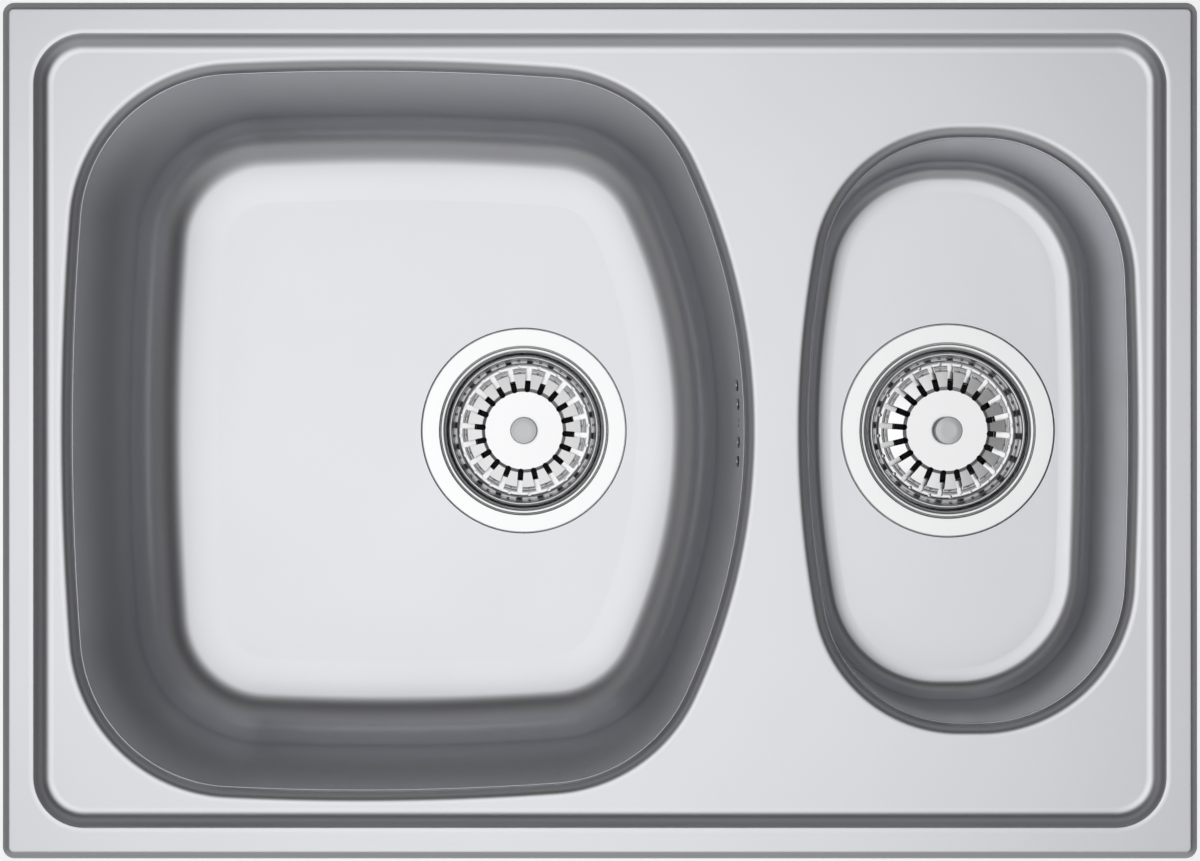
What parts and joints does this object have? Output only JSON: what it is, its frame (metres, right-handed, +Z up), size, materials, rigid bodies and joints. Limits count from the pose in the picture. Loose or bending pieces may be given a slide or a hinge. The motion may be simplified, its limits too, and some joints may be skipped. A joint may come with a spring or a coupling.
{
  "type": "one and a half bowl sink",
  "caption": "Inset kitchen sink in pressed stainless sheet with a main bowl, a half bowl, basket strainer wastes, an overflow and worktop clips.",
  "frame": {"origin": "middle of the sink's plate, on the worktop's top face", "axes": "+X to the right along the 600 mm width, +Y to the back, +Z up out of the worktop"},
  "size_m": [0.6, 0.43, 0.2308],
  "materials": {
    "satin_steel": "satin stainless sheet with a fine matt grain",
    "polished_steel": "bright polished stainless sheet",
    "turned_steel": "turned stainless steel, satin",
    "plated_steel": "zinc-plated steel",
    "brass": "plain turned brass",
    "black_rubber": "matt moulded rubber",
    "foam_seal": "closed-cell foam strip",
    "sound_pad": "matt self-adhesive pad",
    "white_moulding": "moulded polypropylene",
    "grey_moulding": "moulded polypropylene",
    "dark_moulding": "moulded polypropylene"
  },
  "bodies": {
    "root": {"deck_panel": "satin_steel", "main_bowl": "satin_steel", "half_bowl": "satin_steel", "rim_seal": "foam_seal", "main_sound_pads": "sound_pad", "half_sound_pads": "sound_pad", "clip_brackets": "plated_steel", "clip_screws": "plated_steel", "main_flange_gasket": "black_rubber", "main_waste_flange": "satin_steel", "main_body_gasket": "black_rubber", "main_waste_body": "white_moulding", "main_waste_outlet": "white_moulding", "main_clamp_screw": "turned_steel", "main_clamp_nut": "brass", "half_flange_gasket": "black_rubber", "half_waste_flange": "satin_steel", "half_body_gasket": "black_rubber", "half_waste_body": "white_moulding", "half_waste_outlet": "white_moulding", "half_clamp_screw": "turned_steel", "half_clamp_nut": "brass", "overflow_screw": "turned_steel", "overflow_gasket": "black_rubber", "overflow_head": "white_moulding", "overflow_pipe": "grey_moulding", "overflow_nuts": "dark_moulding"},
    "main_basket_set": {"main_basket": "polished_steel", "main_basket_stem": "turned_steel", "main_basket_plug": "black_rubber"},
    "half_basket_set": {"half_basket": "polished_steel", "half_basket_stem": "turned_steel", "half_basket_plug": "black_rubber"},
    "jaw_1": {"clip_jaw_1": "plated_steel"},
    "jaw_2": {"clip_jaw_2": "plated_steel"},
    "jaw_3": {"clip_jaw_3": "plated_steel"},
    "jaw_4": {"clip_jaw_4": "plated_steel"},
    "jaw_5": {"clip_jaw_5": "plated_steel"},
    "jaw_6": {"clip_jaw_6": "plated_steel"},
    "jaw_7": {"clip_jaw_7": "plated_steel"},
    "jaw_8": {"clip_jaw_8": "plated_steel"}
  },
  "joints": [
    {"name": "main_basket_lift", "type": "slide", "parent": "root", "child": "main_basket_set", "axis": [0, 0, 1], "range_m": [0, 0.2]},
    {"name": "half_basket_lift", "type": "slide", "parent": "root", "child": "half_basket_set", "axis": [0, 0, 1], "range_m": [0, 0.15]},
    {"name": "clip_jaw_1_swing", "type": "hinge", "parent": "root", "child": "jaw_1", "pos_m": [-0.15, 0.1957, -0.0435], "axis": [0, 0, -1], "range_deg": [0, 90]},
    {"name": "clip_jaw_2_swing", "type": "hinge", "parent": "root", "child": "jaw_2", "pos_m": [0.15, 0.1957, -0.0435], "axis": [0, 0, -1], "range_deg": [0, 90]},
    {"name": "clip_jaw_3_swing", "type": "hinge", "parent": "root", "child": "jaw_3", "pos_m": [-0.15, -0.1957, -0.0435], "axis": [0, 0, -1], "range_deg": [0, 90]},
    {"name": "clip_jaw_4_swing", "type": "hinge", "parent": "root", "child": "jaw_4", "pos_m": [0.15, -0.1957, -0.0435], "axis": [0, 0, -1], "range_deg": [0, 90]},
    {"name": "clip_jaw_5_swing", "type": "hinge", "parent": "root", "child": "jaw_5", "pos_m": [0.2807, -0.1, -0.0435], "axis": [0, 0, -1], "range_deg": [0, 90]},
    {"name": "clip_jaw_6_swing", "type": "hinge", "parent": "root", "child": "jaw_6", "pos_m": [0.2807, 0.1, -0.0435], "axis": [0, 0, -1], "range_deg": [0, 90]},
    {"name": "clip_jaw_7_swing", "type": "hinge", "parent": "root", "child": "jaw_7", "pos_m": [-0.2807, -0.1, -0.0435], "axis": [0, 0, -1], "range_deg": [0, 90]},
    {"name": "clip_jaw_8_swing", "type": "hinge", "parent": "root", "child": "jaw_8", "pos_m": [-0.2807, 0.1, -0.0435], "axis": [0, 0, -1], "range_deg": [0, 90]}
  ]
}
